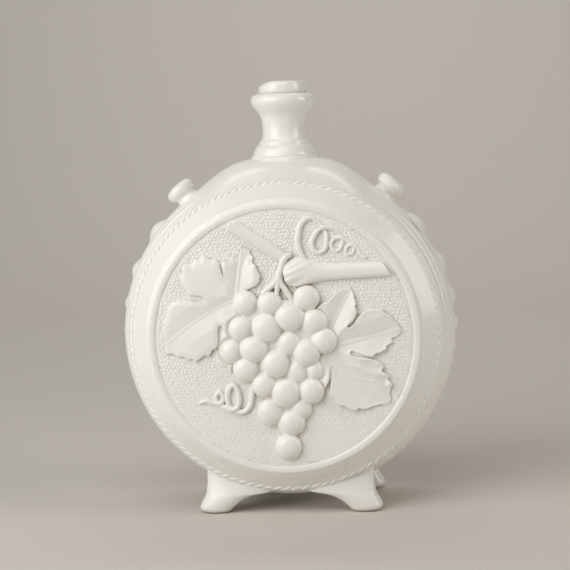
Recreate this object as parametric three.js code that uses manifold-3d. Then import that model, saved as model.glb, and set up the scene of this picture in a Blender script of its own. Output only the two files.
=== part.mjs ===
// Porcelain wine bottle: a round, flat-faced flask on four feet, with a vine in relief on each face.
// Millimetres, +Z up, the front face looks along -Y. The origin is on the table, under the bottle's middle.
import * as THREE from "three";
import { mergeVertices } from "three/addons/utils/BufferGeometryUtils.js";
import Module from "manifold-3d";

const wasm = await Module();
wasm.setup();

// Body sizes
const FLOOR_RADIUS = 73.2;      // flat floor of a face, inside its ring
const RING_WIDTH = 5.2;
const RING_HEIGHT = 1.7;
const BAND_WIDTH = 10.7;        // sloping band from the ring out to the rope
const BAND_FALL = 9.6;          // how far that band falls back towards the seam
const SIDE_SWELL = 8.9;         // how far the side swells out from the rope to the seam
const FACE_DEPTH = 46.0;        // seam plane to the floor of a face
const ROPE_THICKNESS = 3.6;
const WALL = 4.5;
const GROUND_CLEARANCE = 5.5;   // table to the underside of the body
const SHOULDER_RISE = 5.4;      // extra height of the shoulder where the neck stands
const SHOULDER_CROWN = 14;      // degrees from straight up where that rise is complete
const JOINT_GAP = 0.3;          // slip between pieces that are luted on a curved face

// Neck and stopper sizes
const BORE_RADIUS = 8.9;
const NECK_WALL = 3.5;          // at the waist
const FLARE_SPREAD = 6.9;       // from the waist out to the top of the neck's foot
const FOOT_STEP = 1.2;          // small step at the bottom of the flare
const FLARE_HEIGHT = 15.1;      // shoulder to the waist
const FLARE_HOLLOW = { out: 0.23, up: 0.53 };   // how the flare bends, in shares of its spread and height
const BEAD_STAND = 6.45;        // from the waist out to the bead
const BEAD_RISE = 16.3;         // waist to the widest line of the bead
const BEAD_SWEEP = { low: 0.55, high: 0.74 };   // how the neck bends under the bead, in shares of that rise
const BEAD_CAP = 4.7;           // that line up to the mouth
const NECK_TUCK = 14;           // spare length of the neck's foot, trimmed off by the shoulder
const HEAD_OVERHANG = 5.5;      // stopper head beyond the bore
const HEAD_HEIGHT = 6.7;
const HEAD_ROUND = 2.6;
const PEG_RADIUS = 4.0;
const PEG_LENGTH = 15;
const CORK_LENGTH = 20;
const CORK_TAPER = 0.4;
const STOPPER_CLEARANCE = 0.3;

// Lug, foot and boss sizes
const LUG_BEARING = 53.6;       // degrees above the horizontal, seen from the body's centre
const LUG_LEAN = 49.4;          // degrees above the horizontal of the lug's own axis
const LUG_STEM_RADIUS = 6.3;
const LUG_STEM_LENGTH = 3.4;
const LUG_HEAD_OVERHANG = 2.6;
const LUG_HEAD_THICKNESS = 7.4;
const LUG_RIM_SHARE = 0.4;      // of the head's thickness, below its widest line
const LUG_ROOT_FLARE = 1.4;
const LUG_ROOT_SHARE = 0.6;     // of the stem's length, that the root's flare takes up
const FOOT_SPREAD = 44.2;       // middle of the sole, out from the bottle's middle
const FOOT_INSET = 6.9;         // middle of the sole, in from the plane of the rope
const FOOT_WIDTH = 17.7;
const FOOT_DEPTH = 15.0;
const FOOT_EDGE = 2.4;
const FOOT_TOE = 4.2;           // height and length of the toe's rounding
const FOOT_WAIST = 4.8;         // how far the outer side draws in above the toe
const FOOT_WAIST_HEIGHT = 18;
const FOOT_HOLLOW = { out: 0.8, up: 0.5 };      // how the outer side bends, in shares of the waist
const FOOT_WEB = 15.0;          // reach of the sweep from the sole in under the body
const FOOT_SWEEP = 0.35;        // how that sweep bends, in shares of its reach and height
const BOSS_COUNT = 6;
const BOSS_DROP = 26.3;         // from a lug's root down the side to the middle of the top boss
const BOSS_GAP = 6.5;           // between the top two bosses
const BOSS_SHRINK = 0.79;       // each boss and each step against the one above
const BOSS_LENGTH = 20;
const BOSS_BREADTH = 17;
const BOSS_HEIGHT = 3.0;

// Relief sizes, measured out from the floor of a face
const GRAPE_LIFT = { high: 1.5, middle: 0.4, low: -0.9 };
const GRAPE_DEPTH_SHARE = 0.66;         // a grape's depth against its width
const BUNCH_BED = 1.6;
const LEAF_THICKNESS = 2.2;
const VEIN_RADIUS = 1.2;        // of the crease pressed along each vein
const VEIN_TAPER = 0.3;         // share of that radius left at the vein's end
const CANE_DEPTH_SHARE = 0.8;   // a cane's depth against its width
const LEFT_CANE_RADIUS = 3.6;
const RIGHT_CANE_RADIUS = 4.1;
const RIGHT_CANE_KNOB = 8.4;
const KNOB_ROUND = 1.6;         // how far the knob's two edges draw in
const KNOB_PLACES = [0, 0.09, 0.19, 0.37];      // shares of the cane's length: end, swell, fall, plain cane
const RIGHT_CANE_SLANT = 33;    // degrees of the slanting cut at the cane's end
const STEM_WIDTH = 3.8;
const STEM_HEIGHT = 3.0;
const BRANCH_SHARE = 0.8;       // width of a branch of the stem against the stem
const TENDRIL_WIDTH = 2.5;
const TENDRIL_HEIGHT = 1.6;
const RELIEF_ROOT = 1.0;        // how far a relief form runs on below the floor, before it is trimmed flat
const RELIEF_MARGIN = 3.6;      // between the relief's farthest point and the ring

// Places in the relief, drawn across and up from the centre of the floor
const GRAPES = {
  high: [
    [4, 12, 8.5], [-9.5, 6, 8.5], [-17.3, -6, 8.1], [12.7, -8.8, 7.8], [-5, -14.8, 8.3], [0.5, -31.5, 8.4],
  ],
  middle: [
    [-21.5, 20.5, 7.3], [-7.5, 20, 7.4], [13.5, 22.7, 7.6], [17.5, 9, 7.6], [-24.5, 6, 7.1], [3, -3, 7.4],
    [23, -2, 7.5], [-30, -7, 6.8], [-22, -17.5, 7.8], [-12, -27, 7.3], [14.8, -31, 7.6], [-9, -42.5, 7.9],
    [3, -49, 7.8], [0.7, -63, 7.6],
  ],
  low: [[7, -19, 7.2], [17, -19, 5.6], [8.5, -41, 6.4]],
};
const BED = [
  [-22, 21], [-7, 21], [13.5, 22.7], [17.5, 9], [23, -2], [17, -19], [14.8, -31], [3.3, -49], [0.7, -62.8],
  [-9, -42.5], [-12, -27], [-21.5, -17.5], [-30, -7.5], [-24.5, 6],
];
const LEFT_LEAF = [
  [-24, 20.5], [-20, 28.3], [-13, 32], [-12.5, 37], [-15, 43], [-17, 49], [-22.5, 53], [-26, 48],
  [-32.5, 45], [-33.5, 39], [-33, 33.5], [-35.4, 40], [-37.5, 46], [-44, 48], [-51, 46], [-56.5, 43.2],
  [-58.5, 36], [-55, 27.5], [-53.5, 25.4], [-45.5, 24.6], [-45.5, 22], [-52, 21.2], [-59, 23], [-66, 20],
  [-69, 9], [-69.5, -5], [-62, -9.5], [-51, -13], [-43, -9], [-38.7, -4.5], [-38.2, 2], [-37.4, 8.2],
  [-35.4, 8.2], [-35.2, 2], [-38.5, -8], [-38, -14.5], [-31, -18.5], [-25, -22], [-22, -10], [-26.5, 6],
];
const LEFT_VEINS = [[[-27, 22], [-23, 50]], [[-27, 22], [-54, 42]], [[-27, 22], [-65, 1]]];
const RIGHT_LEAF = [
  [18, 16], [24, 20.5], [30, 25], [38.5, 28.5], [41, 22], [41.5, 13], [36.5, 7.4], [37.2, 5], [42, 10],
  [48, 15], [56, 15.3], [62, 10], [67, 3.5], [60, -4.5], [51, -11], [38.5, -8], [38.2, -10.5], [47, -12.5],
  [56, -17], [60.5, -28], [57, -37], [47, -41.5], [35, -41], [27.5, -36], [26.2, -28], [28.2, -18],
  [26, -18], [25.2, -25], [22.5, -30], [17, -28], [17, -12], [20, 0],
];
const RIGHT_VEINS = [[[25, -7], [37, 25]], [[25, -7], [63, 2]], [[25, -7], [55, -35]]];
const LEFT_CANE = [[-26.5, 64.3], [1, 46.5]];
const RIGHT_CANE = [[2.5, 37.5], [62, 37.5]];
const STEM_MAIN = [[4.5, 46.8], [1.2, 43.5], [-0.8, 38], [-1.4, 35.5]];
const STEM_BRANCHES = [
  [[-0.8, 38], [-2.4, 33], [-5.8, 29.8], [-9.4, 27.4]],
  [[-0.8, 38], [-2.2, 32.5], [-3.4, 27.5], [-4.2, 23]],
  [[-0.8, 38], [-1.6, 32], [1.5, 27], [6.5, 20]],
];
const UPPER_TENDRILS = [
  [
    [16, 41.5], [12.8, 44.5], [10.3, 49.7], [9.4, 54.6], [9.9, 59.5], [11.3, 64.3], [14.4, 67.6], [18, 67.9],
    [21.3, 65.6], [24.3, 62.1], [25.8, 58.4], [25.8, 54.2], [24.8, 50.3], [21.4, 48.2], [18.1, 50.4],
  ],
  [
    [18.9, 49.4], [17.6, 54.4], [19.3, 58.6], [22.1, 61.6], [25.5, 62.6], [29.4, 61.7], [32.7, 59.2],
    [34.4, 56.7], [34.6, 54], [33.8, 50.9], [30.9, 49], [28.5, 51.1],
  ],
  [
    [29.3, 50], [28.7, 54.1], [30.8, 55.9], [33.5, 56.1], [36.2, 55.1], [38.9, 52.9], [39.6, 50.8],
    [38.4, 48.4], [36, 48.2], [35.1, 50],
  ],
  [[35.6, 49], [36.1, 52.3], [38.7, 53.3], [41.8, 51.3], [43.3, 48.6], [45.7, 46.7], [48.4, 47.2]],
];
const LOWER_TENDRILS = [
  [
    [-17.5, -24.5], [-18.9, -29], [-19.5, -34], [-20.8, -38.8], [-23.8, -42], [-27.5, -42.6], [-31.3, -41],
    [-33.4, -37], [-33.6, -32], [-31.9, -27.8], [-29.5, -27.2], [-27.5, -30.5], [-27, -35],
  ],
  [
    [-27.1, -33.5], [-28, -39.3], [-31, -41], [-34.5, -40], [-37.5, -38.3], [-40.2, -35.5], [-40, -32.3],
    [-38.2, -30.8], [-36.5, -32.6],
  ],
  [[-36.9, -31.8], [-36.4, -35.5], [-38.4, -37.3], [-42, -36.9], [-46, -35.6], [-49.8, -36.9]],
];

// How finely round forms are divided
const BODY_FACETS = 48;
const NECK_FACETS = 24;
const STOPPER_FACETS = 24;
const LUG_FACETS = 16;
const GRAPE_FACETS = [8, 6];
const BOSS_FACETS = [8, 6];
const CANE_FACETS = 12;
const VEIN_FACETS = 6;
const SIDE_STEPS = 5;
const RING_STEPS = 4;
const CURVE_STEPS = 5;

// Places that follow from the sizes
const ringOuter = FLOOR_RADIUS + RING_WIDTH;
const ropeRadius = ringOuter + BAND_WIDTH;
const ropeDepth = FACE_DEPTH - BAND_FALL;
const bodyRadius = ropeRadius + SIDE_SWELL;
const centreHeight = GROUND_CLEARANCE + bodyRadius;
const shoulderHeight = centreHeight + bodyRadius + SHOULDER_RISE;
const waistRadius = BORE_RADIUS + NECK_WALL;
const neckFootRadius = waistRadius + FLARE_SPREAD + FOOT_STEP;
const neckHoleRadius = neckFootRadius - WALL;
const waistHeight = shoulderHeight + FLARE_HEIGHT;
const beadHeight = waistHeight + BEAD_RISE;
const mouthHeight = beadHeight + BEAD_CAP;
const headRadius = BORE_RADIUS + HEAD_OVERHANG;
const footSetback = ropeDepth - FOOT_INSET;
const drawnReach = Math.max(...[...LEFT_LEAF, ...RIGHT_LEAF].map((place) => Math.hypot(...place)));
const drawnScale = (FLOOR_RADIUS - RELIEF_MARGIN) / drawnReach;

const radians = THREE.MathUtils.degToRad;
const vector = (pair) => new THREE.Vector2(pair[0], pair[1]);

// The glazes and the cork
const PORCELAIN = { color: 0xf1eee7, roughness: 0.16, metalness: 0 };
const CORK = { color: 0xb98c5a, roughness: 0.85, metalness: 0 };

// A closed geometry as a solid, with its faces turned outwards
function solidOf(geometry) {
  const bare = new THREE.BufferGeometry();
  bare.setAttribute("position", geometry.getAttribute("position").clone());
  bare.setIndex(geometry.getIndex());
  const merged = mergeVertices(bare);
  const corners = Float32Array.from(merged.getAttribute("position").array);
  const index = merged.getIndex().array;
  const faces = [];
  for (let i = 0; i < index.length; i += 3) {
    const [a, b, c] = [index[i], index[i + 1], index[i + 2]];
    if (a !== b && b !== c && c !== a) {
      faces.push([a, b, c]);
    }
  }
  const corner = (i) => new THREE.Vector3().fromArray(corners, 3 * i);
  let volume = 0;
  for (const [a, b, c] of faces) {
    volume += corner(a).dot(corner(b).cross(corner(c)));
  }
  const outward = volume > 0 ? faces : faces.map(([a, b, c]) => [a, c, b]);
  const mesh = { numProp: 3, vertProperties: corners, triVerts: Uint32Array.from(outward.flat()) };
  return new wasm.Manifold(new wasm.Mesh(mesh));
}

// A solid as a three.js geometry
function geometryOf(solid) {
  const mesh = solid.getMesh();
  const geometry = new THREE.BufferGeometry();
  geometry.setAttribute("position", new THREE.BufferAttribute(mesh.vertProperties, mesh.numProp));
  geometry.setIndex(new THREE.BufferAttribute(mesh.triVerts, 1));
  geometry.computeVertexNormals();
  return geometry;
}

function joined(solids) {
  return solids.reduce((whole, next) => whole.add(next));
}

// The largest piece of a solid that trimming has parted
function mainPiece(solid) {
  return solid.decompose().sort((a, b) => b.volume() - a.volume())[0];
}

// A turned form: about the body's own axis, which runs front to back, or about the upright axis
function turnedOnDepth(profile, facets) {
  return new THREE.LatheGeometry(profile.map(vector), facets);
}

function turnedUpright(profile, facets) {
  return turnedOnDepth(profile, facets).rotateX(Math.PI / 2);
}

function closedLoop(profile) {
  return [...profile, profile[0]];
}

// Points along a bend, for use in a profile
function bend(curve, steps) {
  return curve.getPoints(steps).map((point) => [point.x, point.y]);
}

// Radius of the body's side at a distance from the seam plane
function sideRadius(depth) {
  return bodyRadius - SIDE_SWELL * (depth / ropeDepth) ** 2;
}

function sideProfile(deepest, inset) {
  const profile = [];
  for (let step = 0; step <= SIDE_STEPS; step += 1) {
    const depth = deepest * (1 - step / SIDE_STEPS);
    profile.push([sideRadius(depth) + inset, -depth]);
  }
  return profile;
}

// The shoulder swells up towards the neck between the two lugs, and fades out towards the ropes
function raiseShoulder(geometry) {
  const places = geometry.getAttribute("position");
  const point = new THREE.Vector3();
  for (let i = 0; i < places.count; i += 1) {
    point.fromBufferAttribute(places, i);
    const lean = Math.abs(Math.atan2(point.x, point.z));
    const climb = 1 - THREE.MathUtils.smoothstep(lean, radians(SHOULDER_CROWN), radians(90 - LUG_BEARING));
    const share = Math.max(0, 1 - (point.y / ropeDepth) ** 2);
    const reach = Math.hypot(point.x, point.z);
    if (reach > 0) {
      const growth = 1 + (SHOULDER_RISE * climb * share) / reach;
      places.setXYZ(i, point.x * growth, point.y, point.z * growth);
    }
  }
  return geometry.translate(0, 0, centreHeight);
}

// Outside of one half of the body, from the middle of the face to the seam
function halfProfile(spare) {
  return [
    [0, -FACE_DEPTH - spare],
    [ringOuter + spare, -FACE_DEPTH - spare],
    ...sideProfile(ropeDepth, spare),
  ];
}

// The whole body with no hollow, grown by the slip joint, to trim what is luted on it
function bodyTrimmer() {
  const front = halfProfile(JOINT_GAP);
  const back = front.slice(0, -1).reverse().map(([radius, depth]) => [radius, -depth]);
  return solidOf(raiseShoulder(turnedOnDepth([...front, ...back], BODY_FACETS)));
}

const trimmer = bodyTrimmer();
const onBody = (geometry) => mainPiece(solidOf(geometry).subtract(trimmer));

function shellSolid() {
  const innerFace = FACE_DEPTH - WALL;
  const inner = [[0, -innerFace], [ringOuter - WALL, -innerFace], ...sideProfile(ropeDepth - WALL, -WALL)];
  const profile = [...halfProfile(0), ...inner.reverse()];
  const shell = solidOf(raiseShoulder(turnedOnDepth(profile, BODY_FACETS)));
  const hole = [[0, centreHeight], [neckHoleRadius, centreHeight]];
  hole.push([neckHoleRadius, mouthHeight], [0, mouthHeight]);
  return shell.subtract(solidOf(turnedUpright(hole, NECK_FACETS)));
}

function neckSolid() {
  const flareTop = waistRadius + FLARE_SPREAD;
  const flare = new THREE.QuadraticBezierCurve(
    new THREE.Vector2(flareTop, shoulderHeight),
    new THREE.Vector2(waistRadius + FLARE_HOLLOW.out * FLARE_SPREAD,
      shoulderHeight + FLARE_HOLLOW.up * FLARE_HEIGHT),
    new THREE.Vector2(waistRadius, waistHeight),
  );
  const underBead = new THREE.CubicBezierCurve(
    new THREE.Vector2(waistRadius, waistHeight),
    new THREE.Vector2(waistRadius, waistHeight + BEAD_SWEEP.low * BEAD_RISE),
    new THREE.Vector2(waistRadius + BEAD_STAND, waistHeight + BEAD_SWEEP.high * BEAD_RISE),
    new THREE.Vector2(waistRadius + BEAD_STAND, beadHeight),
  );
  const beadOut = waistRadius + BEAD_STAND - headRadius;
  const overBead = new THREE.EllipseCurve(headRadius, beadHeight, beadOut, BEAD_CAP, 0, Math.PI / 2);
  const footEnd = shoulderHeight - NECK_TUCK;
  const profile = [
    [neckHoleRadius, footEnd],
    [neckFootRadius, footEnd],
    [neckFootRadius, shoulderHeight - FOOT_STEP],
    ...bend(flare, CURVE_STEPS),
    ...bend(underBead, CURVE_STEPS).slice(1),
    ...bend(overBead, CURVE_STEPS).slice(1),
    [BORE_RADIUS, mouthHeight],
    [BORE_RADIUS, waistHeight],
    [neckHoleRadius, shoulderHeight],
  ];
  return onBody(turnedUpright(closedLoop(profile), NECK_FACETS));
}

function stopperHeadSolid() {
  const under = mouthHeight + STOPPER_CLEARANCE;
  const top = under + HEAD_HEIGHT;
  const rim = new THREE.EllipseCurve(headRadius - HEAD_ROUND, top - HEAD_ROUND, HEAD_ROUND, HEAD_ROUND,
    0, Math.PI / 2);
  const profile = [[0, under - PEG_LENGTH], [PEG_RADIUS, under - PEG_LENGTH], [PEG_RADIUS, under]];
  profile.push([headRadius, under], ...bend(rim, CURVE_STEPS), [0, top]);
  return solidOf(turnedUpright(profile, STOPPER_FACETS));
}

function stopperCorkSolid() {
  const inside = PEG_RADIUS + STOPPER_CLEARANCE;
  const outside = BORE_RADIUS - STOPPER_CLEARANCE;
  const bottom = mouthHeight - CORK_LENGTH;
  const profile = [[inside, bottom], [outside - CORK_TAPER, bottom]];
  profile.push([outside, mouthHeight], [inside, mouthHeight]);
  return solidOf(turnedUpright(closedLoop(profile), NECK_FACETS));
}

// A mushroom knob that stands on the shoulder, with its axis leaning outwards
function lugSolid(side) {
  const headRadiusAcross = LUG_STEM_RADIUS + LUG_HEAD_OVERHANG;
  const top = LUG_STEM_LENGTH + LUG_HEAD_THICKNESS;
  const rim = LUG_STEM_LENGTH + LUG_RIM_SHARE * LUG_HEAD_THICKNESS;
  const dome = new THREE.EllipseCurve(0, rim, headRadiusAcross, top - rim, 0, Math.PI / 2);
  const rootRadius = LUG_STEM_RADIUS + LUG_ROOT_FLARE;
  const profile = [
    [0, -top],
    [rootRadius, -top],
    [rootRadius, 0],
    [LUG_STEM_RADIUS, LUG_ROOT_SHARE * LUG_STEM_LENGTH],
    [LUG_STEM_RADIUS, LUG_STEM_LENGTH],
    ...bend(dome, CURVE_STEPS),
  ];
  const geometry = turnedUpright(profile, LUG_FACETS);
  geometry.rotateY(side * radians(90 - LUG_LEAN));
  const bearing = radians(LUG_BEARING);
  const out = bodyRadius * Math.cos(bearing);
  const up = bodyRadius * Math.sin(bearing);
  geometry.translate(side * out, 0, centreHeight + up);
  return onBody(geometry);
}

// A splayed foot, cut from its outline seen from the front
function footSolid(side, end) {
  const outer = FOOT_SPREAD + FOOT_WIDTH / 2;
  const inner = FOOT_SPREAD - FOOT_WIDTH / 2;
  const webEnd = inner - FOOT_WEB;
  const webHeight = centreHeight - Math.sqrt(sideRadius(footSetback) ** 2 - webEnd ** 2);
  const outline = new THREE.Shape();
  outline.moveTo(inner, 0);
  outline.lineTo(outer - FOOT_TOE, 0);
  outline.quadraticCurveTo(outer, 0, outer, FOOT_TOE);
  const waist = outer - FOOT_WAIST;
  outline.quadraticCurveTo(outer - FOOT_HOLLOW.out * FOOT_WAIST, FOOT_HOLLOW.up * FOOT_WAIST_HEIGHT,
    waist, FOOT_WAIST_HEIGHT);
  outline.lineTo(waist, centreHeight / 2);
  outline.lineTo(webEnd, centreHeight / 2);
  outline.lineTo(webEnd, webHeight);
  outline.quadraticCurveTo(inner - FOOT_SWEEP * FOOT_WEB, FOOT_SWEEP * webHeight, inner, 0);
  const geometry = new THREE.ExtrudeGeometry(outline, {
    depth: FOOT_DEPTH - 2 * FOOT_EDGE,
    curveSegments: CURVE_STEPS,
    bevelSize: FOOT_EDGE / 2,
    bevelOffset: -FOOT_EDGE / 2,
    bevelThickness: FOOT_EDGE,
    bevelSegments: 1,
  });
  geometry.translate(0, 0, FOOT_EDGE - FOOT_DEPTH / 2);
  geometry.rotateX(Math.PI / 2);
  geometry.translate(0, end * footSetback, -geometryFloor(geometry));
  geometry.scale(side, 1, 1);
  const rope = ropeRing(JOINT_GAP);
  rope.scale(1, -end, 1);
  return mainPiece(onBody(geometry).subtract(solidOf(rope)).subtract(insideRopes()));
}

// The space within the two ropes' circle, which no foot reaches into
function insideRopes() {
  const length = 2 * FACE_DEPTH;
  const profile = [[0, -length], [ropeRadius, -length], [ropeRadius, length], [0, length]];
  const drum = turnedOnDepth(profile, BODY_FACETS);
  return solidOf(drum.translate(0, 0, centreHeight));
}

function geometryFloor(geometry) {
  geometry.computeBoundingBox();
  return geometry.boundingBox.min.z;
}

// One of the row of round bosses down a side, each smaller and closer than the one above
function bossSolid(side, place) {
  const share = BOSS_SHRINK ** place;
  const passed = ((BOSS_LENGTH + BOSS_GAP) * (1 - share)) / (1 - BOSS_SHRINK);
  const bearing = radians(LUG_BEARING) - (BOSS_DROP + passed) / bodyRadius;
  const geometry = new THREE.SphereGeometry(1, ...BOSS_FACETS);
  geometry.scale(BOSS_HEIGHT * share, (BOSS_BREADTH / 2) * share, (BOSS_LENGTH / 2) * share);
  geometry.translate(bodyRadius, 0, 0);
  geometry.rotateY(-bearing);
  geometry.scale(side, 1, 1);
  geometry.translate(0, 0, centreHeight);
  return onBody(geometry);
}

// A half-round bead that lies flat on the face
function ringSolid() {
  const middle = FLOOR_RADIUS + RING_WIDTH / 2;
  const arch = new THREE.EllipseCurve(middle, -FACE_DEPTH, RING_WIDTH / 2, RING_HEIGHT, 0, -Math.PI, true);
  const ring = turnedOnDepth(closedLoop(bend(arch, RING_STEPS)), BODY_FACETS);
  return solidOf(ring.translate(0, 0, centreHeight));
}

// The rope's round core, on the edge between the band and the side
function ropeRing(spare) {
  const radius = ROPE_THICKNESS / 2 + spare;
  const round = new THREE.EllipseCurve(ropeRadius, -ropeDepth, radius, radius);
  const rope = turnedOnDepth(bend(round, 2 * RING_STEPS), BODY_FACETS);
  return rope.translate(0, 0, centreHeight);
}

function ropeSolid() {
  return onBody(ropeRing(0));
}

// Relief pieces are drawn on the floor of a face, across, up and out, and are trimmed flat at zero
const drawn = ([across, up]) => new THREE.Vector2(across * drawnScale, up * drawnScale);
const drawnOut = (place) => new THREE.Vector3(drawn(place).x, drawn(place).y, 0);

function floorSlab() {
  const slab = new THREE.BoxGeometry(2 * bodyRadius, 2 * bodyRadius, FACE_DEPTH);
  return solidOf(slab.translate(0, 0, -FACE_DEPTH / 2));
}

const floorBelow = floorSlab();
const onFloor = (solid) => mainPiece(solid.subtract(floorBelow));

function plate(outline, thickness) {
  const shape = new THREE.Shape(outline.map(drawn));
  const geometry = new THREE.ExtrudeGeometry(shape, { depth: RELIEF_ROOT + thickness, bevelEnabled: false });
  return solidOf(geometry.translate(0, 0, -RELIEF_ROOT));
}

function bunchForm(spare) {
  const grapes = [];
  for (const [level, places] of Object.entries(GRAPES)) {
    for (const [across, up, radius] of places) {
      const grape = new THREE.SphereGeometry(radius * drawnScale + spare, ...GRAPE_FACETS);
      grape.scale(1, 1, GRAPE_DEPTH_SHARE);
      const middle = drawn([across, up]);
      grapes.push(solidOf(grape.translate(middle.x, middle.y, GRAPE_LIFT[level])));
    }
  }
  return joined([plate(BED, BUNCH_BED + spare), ...grapes]);
}

// A round bar that lies along a line on the floor; its profile is in steps along it and radii
function barForm([from, to], profile, facets) {
  const start = drawnOut(from);
  const run = drawnOut(to).sub(start);
  const outline = profile.map(([share, radius]) => [radius, share * run.length()]);
  const bar = turnedOnDepth([[0, outline[0][1]], ...outline, [0, outline.at(-1)[1]]], facets);
  bar.rotateZ(Math.atan2(run.y, run.x) - Math.PI / 2);
  return solidOf(bar.translate(start.x, start.y, 0));
}

function leftCaneForm(spare) {
  const profile = [[0, LEFT_CANE_RADIUS + spare], [1, LEFT_CANE_RADIUS + spare]];
  return barForm(LEFT_CANE, profile, CANE_FACETS).scale([1, 1, CANE_DEPTH_SHARE]);
}

// The thick cane flares to a knob by the stem and ends in a slanting cut
function rightCaneForm(spare) {
  const knob = RIGHT_CANE_KNOB + spare;
  const radius = RIGHT_CANE_RADIUS + spare;
  const [end, swell, fall, plain] = KNOB_PLACES;
  const profile = [[end, knob - KNOB_ROUND], [swell, knob], [fall, knob - KNOB_ROUND]];
  profile.push([plain, radius], [1, radius]);
  const bar = barForm(RIGHT_CANE, profile, CANE_FACETS).scale([1, 1, CANE_DEPTH_SHARE]);
  const tip = drawn(RIGHT_CANE[1]);
  const offcut = new THREE.BoxGeometry(4 * knob, 4 * knob, 4 * knob);
  offcut.translate(2 * knob, 0, 0);
  offcut.rotateZ(radians(RIGHT_CANE_SLANT));
  offcut.translate(tip.x - knob / 2 + spare, tip.y, 0);
  return bar.subtract(solidOf(offcut));
}

// A half-round cord of clay along a curve on the floor
function cordForm(route, width, height, steps) {
  const curve = new THREE.CatmullRomCurve3(route.map(drawnOut));
  const section = new THREE.Shape();
  section.moveTo(RELIEF_ROOT, -width / 2);
  section.lineTo(0, -width / 2);
  section.lineTo(-height, -width / 4);
  section.lineTo(-height, width / 4);
  section.lineTo(0, width / 2);
  section.lineTo(RELIEF_ROOT, width / 2);
  const geometry = new THREE.ExtrudeGeometry(section, { steps, extrudePath: curve, bevelEnabled: false });
  return solidOf(geometry);
}

function stemForm(spare) {
  const width = STEM_WIDTH + 2 * spare;
  const height = STEM_HEIGHT + spare;
  const main = cordForm(STEM_MAIN, width, height, CURVE_STEPS);
  const branches = STEM_BRANCHES.map((route) => cordForm(route, BRANCH_SHARE * width, height, CURVE_STEPS));
  return joined([main, ...branches]);
}

// A leaf is folded down along its veins, where a crease is pressed into it
function leafForm(outline, veins) {
  const creases = veins.map((vein) => {
    const crease = barForm(vein, [[0, VEIN_RADIUS], [1, VEIN_TAPER * VEIN_RADIUS]], VEIN_FACETS);
    return crease.translate(0, 0, LEAF_THICKNESS);
  });
  return creases.reduce((leaf, crease) => leaf.subtract(crease), plate(outline, LEAF_THICKNESS));
}

function tendrilForm(routes) {
  const stepsPerPoint = 2;
  const cords = routes.map((route) => {
    return cordForm(route, TENDRIL_WIDTH, TENDRIL_HEIGHT, stepsPerPoint * route.length);
  });
  return joined(cords);
}

// Every relief piece gives way to those in front of it, with the joint gap left round them
function reliefSolids() {
  const bunchRoom = bunchForm(JOINT_GAP);
  const rightCaneRoom = rightCaneForm(JOINT_GAP);
  const leftCaneRoom = leftCaneForm(JOINT_GAP);
  const stemRoom = stemForm(JOINT_GAP);
  const clearOf = (form, rooms) => onFloor(rooms.reduce((left, room) => left.subtract(room), form));
  const canes = [rightCaneRoom, leftCaneRoom];
  return {
    grape_bunch: onFloor(bunchForm(0)),
    right_cane: clearOf(rightCaneForm(0), [bunchRoom]),
    left_cane: clearOf(leftCaneForm(0), [rightCaneRoom, bunchRoom]),
    bunch_stem: clearOf(stemForm(0), [bunchRoom, ...canes]),
    left_leaf: clearOf(leafForm(LEFT_LEAF, LEFT_VEINS), [bunchRoom, ...canes, stemRoom]),
    right_leaf: clearOf(leafForm(RIGHT_LEAF, RIGHT_VEINS), [bunchRoom, ...canes]),
    upper_tendril: clearOf(tendrilForm(UPPER_TENDRILS), canes),
    lower_tendril: clearOf(tendrilForm(LOWER_TENDRILS), [bunchRoom]),
  };
}

function piece(name, solid, finish) {
  const mesh = new THREE.Mesh(geometryOf(solid), new THREE.MeshStandardMaterial(finish));
  mesh.name = name;
  return mesh;
}

// One side of the bottle: half the body with its ring, rope and relief
function faceGroup(shellName, prefix, relief) {
  const group = new THREE.Group();
  group.add(piece(shellName, shellSolid(), PORCELAIN));
  group.add(piece(`${prefix}_ring`, ringSolid(), PORCELAIN));
  group.add(piece(`${prefix}_rope`, ropeSolid(), PORCELAIN));
  const floor = new THREE.Group();
  floor.position.set(0, -FACE_DEPTH, centreHeight);
  floor.rotation.x = Math.PI / 2;
  for (const [name, solid] of Object.entries(relief)) {
    floor.add(piece(`${prefix}_${name}`, solid, PORCELAIN));
  }
  group.add(floor);
  return group;
}

function buildBottle() {
  const bottle = new THREE.Group();
  const relief = reliefSolids();
  const front = faceGroup("front_shell", "front", relief);
  const rear = faceGroup("back_shell", "rear", relief);
  rear.rotation.z = Math.PI;
  bottle.add(front, rear);
  bottle.add(piece("neck", neckSolid(), PORCELAIN));
  bottle.add(piece("stopper_head", stopperHeadSolid(), PORCELAIN));
  bottle.add(piece("stopper_cork", stopperCorkSolid(), CORK));
  for (const [sideName, side] of [["left", -1], ["right", 1]]) {
    bottle.add(piece(`${sideName}_lug`, lugSolid(side), PORCELAIN));
    bottle.add(piece(`front_${sideName}_foot`, footSolid(side, -1), PORCELAIN));
    bottle.add(piece(`rear_${sideName}_foot`, footSolid(side, 1), PORCELAIN));
    for (let place = 0; place < BOSS_COUNT; place += 1) {
      bottle.add(piece(`${sideName}_boss_${place + 1}`, bossSolid(side, place), PORCELAIN));
    }
  }
  return bottle;
}

export default buildBottle();
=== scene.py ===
import math

import bmesh
import bpy
from mathutils import Matrix, Vector, kdtree, noise


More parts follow.
